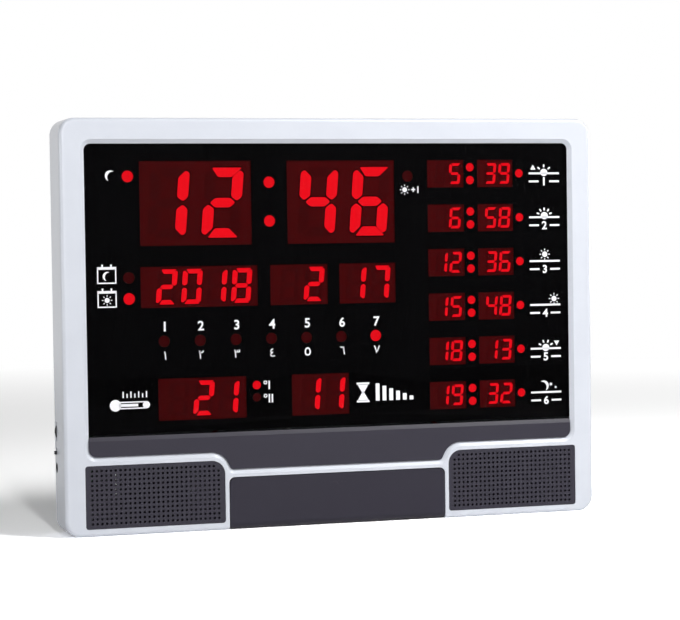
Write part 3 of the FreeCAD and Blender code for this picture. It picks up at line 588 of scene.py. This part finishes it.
def disc(shape, x, z, radius, sides=24, turn=0.0, tall=1.0):
    """A filled circle, or with few sides a polygon; tall stretches its height."""
    made = bmesh.ops.create_circle(shape, cap_ends=True, radius=1, segments=sides)
    flat(shape, made["verts"], x, z, radius, radius * tall, turn)


def bar(shape, x, z, wide, tall, turn=0.0):
    """A filled rectangle."""
    made = bmesh.ops.create_grid(shape, x_segments=1, y_segments=1, size=0.5)
    flat(shape, made["verts"], x, z, wide, tall, turn)


def triangle(shape, x, z, size, turn=0.0):
    """A triangle that points up, or left with a turn of 90."""
    disc(shape, x, z, size, 3, turn)


def ring(shape, x, z, radius, line, sides=28):
    """A circle line: the middle of a disc is inset and taken out."""
    made = bmesh.ops.create_circle(shape, cap_ends=True, radius=1, segments=sides)
    face = made["verts"][0].link_faces[0]
    flat(shape, made["verts"], x, z, radius, radius)
    bmesh.ops.inset_region(shape, faces=[face], thickness=line / 1000, use_boundary=True,
                           use_even_offset=True)
    bmesh.ops.delete(shape, geom=[face], context="FACES")


def crescent(shape, x, z, radius, turn=0.0):
    """A moon: the right half of a disc is folded back inside its left half."""
    made = bmesh.ops.create_circle(shape, cap_ends=True, radius=1, segments=36)
    for corner in made["verts"]:
        if corner.co.x > 0.2:
            corner.co.x = 0.37 - corner.co.x * 0.85
    flat(shape, made["verts"], x, z, radius, radius, turn)


def sun(shape, x, z, radius):
    """A disc with eight rays."""
    disc(shape, x, z, radius * 0.5)
    for turn in range(0, 360, 45):
        angle = math.radians(turn)
        bar(shape, x + math.cos(angle) * radius * 0.86, z + math.sin(angle) * radius * 0.86,
            radius * 0.32, radius * 0.15, -turn)


def printed(name, shape, body="casing", depth=ink_depth, finish=ink, thick=ink_thick):
    """Gives the flat marks a thickness, moves them to a face at that depth and finishes them."""
    bmesh.ops.translate(shape, vec=(0, (depth - ink_depth) / 1000, 0), verts=shape.verts[:])
    bmesh.ops.recalc_face_normals(shape, faces=shape.faces[:])
    for face in shape.faces:
        if face.normal.y > 0:
            face.normal_flip()
    raised = bmesh.ops.extrude_face_region(shape, geom=shape.faces[:], use_keep_orig=True)
    moved = [g for g in raised["geom"] if isinstance(g, bmesh.types.BMVert)]
    bmesh.ops.translate(shape, vec=(0, thick / 1000, 0), verts=moved)
    finish_piece(name, shape, [finish], body, crisp=20)


print("ink stands", round(window_depth - ink_depth, 2), "mm proud and is", ink_thick, "mm thick")

# %% [markdown]
# Numbers are text objects. They are made a mesh at once and joined into the marks they belong to,
# because a piece has to be a mesh whose place is in its own points.

# %% Numbers as marks
def number(shape, text, x, z, tall, bold=0.022):
    """A plain number, centred on its place; tall is the height of its figures in mm."""
    curve = bpy.data.curves.new("figure", "FONT")
    curve.body, curve.align_x, curve.align_y = text, "CENTER", "CENTER"
    curve.size, curve.offset, curve.resolution_u = 1.0, bold, 4
    figure = bpy.data.objects.new("figure", curve)
    bpy.context.scene.collection.objects.link(figure)
    outline = bpy.data.meshes.new_from_object(figure.evaluated_get(bpy.context.evaluated_depsgraph_get()))
    bpy.data.objects.remove(figure)
    before = set(shape.verts)
    shape.from_mesh(outline)
    fresh = [v for v in shape.verts if v not in before]
    left, right = min(v.co.x for v in fresh), max(v.co.x for v in fresh)
    low, high = min(v.co.y for v in fresh), max(v.co.y for v in fresh)
    bmesh.ops.translate(shape, vec=(-(left + right) / 2, -(low + high) / 2, 0), verts=fresh)
    flat(shape, fresh, x, z, tall / (high - low), tall / (high - low))


eastern_one = 0x661  # the figure 1 of the eastern Arabic figures
weekday_prints = bmesh.new()
for day in range(7):
    x = -136.0 + 28.25 * day
    number(weekday_prints, str(day + 1), x, 157.0, 7.4)
    number(weekday_prints, chr(eastern_one + day), x, 134.9, 6.4, bold=0.006)
printed("weekday_numbers", weekday_prints)

# %% [markdown]
# Each of the six rows of times has a small picture of where the sun stands: coming up to the
# horizon, risen, at its height, going down, setting, and the night. Under it stands the row's plain
# number between two short lines, which fills the width of its place.

# %% The six rows of times
row_prints = bmesh.new()


def low_sun(shape, x, z, rays):
    """A half sun on the horizon, with its rays."""
    disc(shape, x, z + 0.4, 3.1, 24, tall=0.95)
    for turn in rays:
        angle = math.radians(turn)
        bar(shape, x + math.sin(angle) * 5.7, z + 0.4 + math.cos(angle) * 5.3, 1.25, 2.3, turn)


x = 176.1
for row, height in enumerate(row_heights):
    upper, lower = height + 3.5, height - 6.6
    number(row_prints, str(row + 1), x, lower, 6.6, bold=0.03)
    for side in (-1, 1):
        bar(row_prints, x + side * 8.8, lower, 8.4, 1.5)
    bar(row_prints, x, upper - 3.7, 26.0, 1.5)
    if row == 0:
        low_sun(row_prints, x, upper - 3.4, (-50, 0, 50))
        triangle(row_prints, x - 9.4, upper + 0.6, 2.6)
    elif row == 1:
        low_sun(row_prints, x, upper - 2.9, (-70, -35, 0, 35, 70))
    elif row in (2, 3):
        sun(row_prints, x + (0 if row == 2 else 7.6), upper + (1.7 if row == 2 else 1.1), 4.4)
    elif row == 4:
        low_sun(row_prints, x, upper - 3.4, (-60, -20, 20, 60))
        triangle(row_prints, x + 9.4, upper + 1.0, 2.6, 180)
    else:
        crescent(row_prints, x - 2.0, upper + 1.5, 4.2, 150)
        for dx, dz, size in ((4.0, 2.6, 1.6), (8.2, 0.0, 1.2)):
            triangle(row_prints, x + dx, upper + dz, size)
            triangle(row_prints, x + dx, upper + dz, size, 180)
printed("row_marks", row_prints)

# %% [markdown]
# The single lights get pictograms that say what their light means: a moon for the second half of
# the day, a sun and +1 for summer time, a calendar leaf with a moon or a sun for the two
# calendars, and one or two strokes after a degree ring for the two units of temperature.

# %% Marks beside the single lights
side_prints = bmesh.new()
crescent(side_prints, -176.0, 271.4, 4.1, 30)
sun(side_prints, 58.2, 259.3, 3.9)
number(side_prints, "+1", 66.6, 259.3, 5.2)


def calendar_leaf(shape, x, z):
    """The outline of a calendar leaf with a solid head and two binding rings."""
    for side in (-1, 1):
        bar(shape, x + side * 6.9, z - 0.8, 1.0, 12.0)
        bar(shape, x + side * 3.4, z + 6.4, 1.3, 2.0)
    bar(shape, x, z - 6.6, 14.8, 1.0)
    bar(shape, x, z + 4.6, 14.8, 2.0)


for z, moon in ((197.3, True), (179.3, False)):
    calendar_leaf(side_prints, -180.0, z)
    if moon:
        crescent(side_prints, -179.6, z - 1.5, 3.5, 20)
    else:
        sun(side_prints, -180.0, z - 1.5, 3.9)
for strokes, z in ((1, 110.0), (2, 99.7)):
    ring(side_prints, -57.4, z + 2.0, 1.5, 0.7)
    for stroke in range(strokes):
        bar(side_prints, -54.4 + 2.4 * stroke, z, 1.2, 6.6)
printed("light_marks", side_prints)

# %% [markdown]
# The two lower places are wider. The temperature gets a lying thermometer with its scale, and the
# countdown an hourglass with bars that run out beside it.

# %% Thermometer and hourglass
wide_prints = bmesh.new()
tube_z = 98.2
disc(wide_prints, -175.0, tube_z, 4.4, 32)
for side in (-1, 1):
    bar(wide_prints, -161.6, tube_z + side * 2.35, 20.6, 0.9)
disc(wide_prints, -151.2, tube_z, 2.8, 16)
bar(wide_prints, -165.0, tube_z, 15.0, 2.1)
for degree in range(7):
    z, tall = (105.4, 3.2) if degree % 2 else (106.2, 4.8)
    bar(wide_prints, -169.0 + 3.0 * degree, z, 1.0, tall)
glass_x, glass_z = 21.6, 101.6
for side, turn in ((-1, 0), (1, 180)):
    triangle(wide_prints, glass_x, glass_z + side * 3.5, 5.0, turn)
    bar(wide_prints, glass_x, glass_z + side * 7.0, 10.4, 1.5)
for step in range(6):
    tall = 13.6 - 2.1 * step
    bar(wide_prints, 33.6 + 5.6 * step, 94.7 + tall / 2, 3.2, tall)
printed("wide_marks", wide_prints)

# %% [markdown]
# Behind the door are six soft keys. Each has a small mark on its cap that tells what it does, and the
# mark has to go down with its own key, so it is a piece of its own that rides on that key's body.
# The door has a raised triangle between two short bars over its latch, to show where to push,
# moulded in the same plastic as the door.

# %% Marks on the keys and the door
key_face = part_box("key_menu")[0][1] * 1000 - front_y
for i, key in enumerate(("menu", "set", "up", "down", "sound", "light")):
    x, z = -60.0 + 24.0 * i, 19.0
    mark = bmesh.new()
    if key == "menu":
        for dz in (-2, 0, 2):
            bar(mark, x, z + dz, 6.0, 0.9)
    elif key == "set":
        ring(mark, x, z, 2.6, 0.8)
        disc(mark, x, z, 0.9, 16)
    elif key in ("up", "down"):
        triangle(mark, x, z + (-0.5 if key == "up" else 0.5), 2.8, 0 if key == "up" else 180)
    elif key == "sound":
        bar(mark, x - 2.4, z, 1.7, 2.2)
        triangle(mark, x - 0.6, z, 2.6, 90)
        for dx, tall in ((2.0, 2.4), (3.6, 4.4)):
            bar(mark, x + dx, z, 0.8, tall)
    else:
        sun(mark, x, z, 3.0)
    printed("key_mark_" + key, mark, "key_" + key, key_face - 0.04, ink)

push_mark = bmesh.new()
triangle(push_mark, 0.0, 32.6, 2.6, 180)
for side in (-1, 1):
    bar(push_mark, side * 4.6, 32.9, 4.4, 0.7)
push_mark_proud = 0.18
printed("push_mark", push_mark, "door", -push_mark_proud, door_plum, 0.3)

# %% [markdown]
# The camera stands to the left of the clock and looks at it through a long lens, which keeps the frame's
# edges almost parallel. Its place and turn were worked out from the corners of the frame as the
# picture shows them: three directions, right, down and forward, and a point.

# %% Camera
camera = bpy.data.objects.new("camera", bpy.data.cameras.new("camera"))
bpy.context.scene.collection.objects.link(camera)
right, down, forward = (Vector(v) for v in (
    (0.952647, -0.303736, -0.014418), (-0.023143, -0.025144, -0.999416), (0.303197, 0.952424, -0.030982)))
turned = Matrix((right, -down, -forward)).transposed().to_4x4()
camera.matrix_world = Matrix.Translation((-0.5264, -1.6841, 0.2205)) @ turned
picture_width, picture_distance = 680, 2250  # in pixels: the view's width, and its distance from the lens
camera.data.sensor_width = 36.0
camera.data.lens = camera.data.sensor_width * picture_distance / picture_width
bpy.context.scene.camera = camera
print("lens", round(camera.data.lens, 1), "mm")

# %% [markdown]
# The floor is plain and pale. The camera has to see it as white, but more light would burn out the
# silver frame, so only the rays that are seen, mirrored or seen through find a brighter paint, and
# far from the clock, where the lamps no longer reach, a white haze. The light that bounces off the
# floor stays modest, and the clock's shadow keeps its depth.

# %% Floor
floor_shape = bmesh.new()
bmesh.ops.create_grid(floor_shape, x_segments=1, y_segments=1, size=8.0)
floor_mesh = bpy.data.meshes.new("floor")
floor_shape.to_mesh(floor_mesh)
floor = bpy.data.objects.new("floor", floor_mesh)
bpy.context.scene.collection.objects.link(floor)
floor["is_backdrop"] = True
ground = Finish("floor_paint", (0.75, 0.75, 0.75))
coat(floor, ground)
seen, mirrored, through = ground.rays()
paint_values = {"bounced": 0.75, "seen": 2.45, "mirrored": 1.65}
paints = {name: ground.node("ShaderNodeBsdfDiffuse", {}, {"Color": (pale, pale, pale)})
          for name, pale in paint_values.items()}
haze = ground.node("ShaderNodeEmission", {}, {"Color": (1.0, 1.0, 1.0), "Strength": 1.0})
distance = ground.node("ShaderNodeVectorMath", {"operation": "LENGTH"}, {0: ground.place}, out=1)
far = ground.node("ShaderNodeMath", {"operation": "MULTIPLY", "use_clamp": True}, {0: distance - 0.9, 1: 0.7})


def mix_shaders(mask, first, second):
    """The second shader where the mask is 1, and the first where it is 0."""
    return ground.node("ShaderNodeMixShader", {}, {0: mask, 1: first, 2: second})


paint = mix_shaders(seen, paints["bounced"], paints["seen"])
paint = mix_shaders(mirrored + through, paint, paints["mirrored"])
ground.put(ground.tree.nodes["Material Output"].inputs["Surface"],
           mix_shaders((seen + mirrored + through) * far, paint, haze))
print("floor paints:", paint_values)

# %% [markdown]
# The light is a plain studio. A tall narrow lamp beside the camera throws the shadow behind the
# clock, a soft lamp close at the upper right makes the frame brighter to that side, a low one on
# the left lights the flank, and one behind keeps the back readable. The surround is white to the
# camera and in reflections, and lights the clock more gently than it looks.

# %% Lamps and surround
clock_middle = Vector((0, 0, 0.15))


def lamp(name, place, wide, tall, power):
    """A soft rectangular lamp that looks at the clock and isn't seen itself: metres and watts."""
    data = bpy.data.lights.new(name, "AREA")
    data.shape, data.size, data.size_y, data.energy = "RECTANGLE", wide, tall, power
    made = bpy.data.objects.new(name, data)
    bpy.context.scene.collection.objects.link(made)
    look = clock_middle - Vector(place)
    made.matrix_world = Matrix.Translation(place) @ look.to_track_quat("-Z", "Y").to_matrix().to_4x4()
    made.visible_camera = False


lamp("strip_lamp", (-0.37, -2.95, 1.02), 0.16, 1.8, 27)
lamp("key_lamp", (0.72, -0.80, 1.08), 0.5, 0.5, 16.5)
lamp("left_lamp", (-2.3, -0.6, 0.28), 0.5, 0.45, 12)
lamp("rear_lamp", (1.9, 3.0, 0.4), 0.9, 0.6, 28)
world = bpy.data.worlds.new("surround")
bpy.context.scene.world = world
world.use_nodes = True
sky, background = Nodes(world.node_tree), world.node_tree.nodes["Background"]
seen, mirrored, through = sky.rays()
sky.put(background.inputs["Color"], (1.0, 1.0, 1.0))
gentle = 0.08
strength = gentle + (seen + mirrored + through) * (1 - gentle)
sky.put(background.inputs["Strength"],
        sky.node("ShaderNodeMath", {"operation": "MINIMUM"}, {0: strength, 1: 1.0}))
print("lamps:", [data.name for data in bpy.data.lights], "surround:", gentle)
bpy.context.scene.view_settings.view_transform = "Standard"

# %% [markdown]
# The last step measures the finished look and the CAD and prints the sizes of both boxes. Only the
# raised mark on the door stands out of the CAD's box, by a fraction of a millimetre.

# %% Measure and finish
boxes = {"cad": [[float(n) for n in corner] for corner in cad_box],
         "look": [[float(n) for n in corner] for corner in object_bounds()]}
print("sizes in mm:", {name: [round((b - a) * 1000, 1) for a, b in zip(*box)] for name, box in boxes.items()})
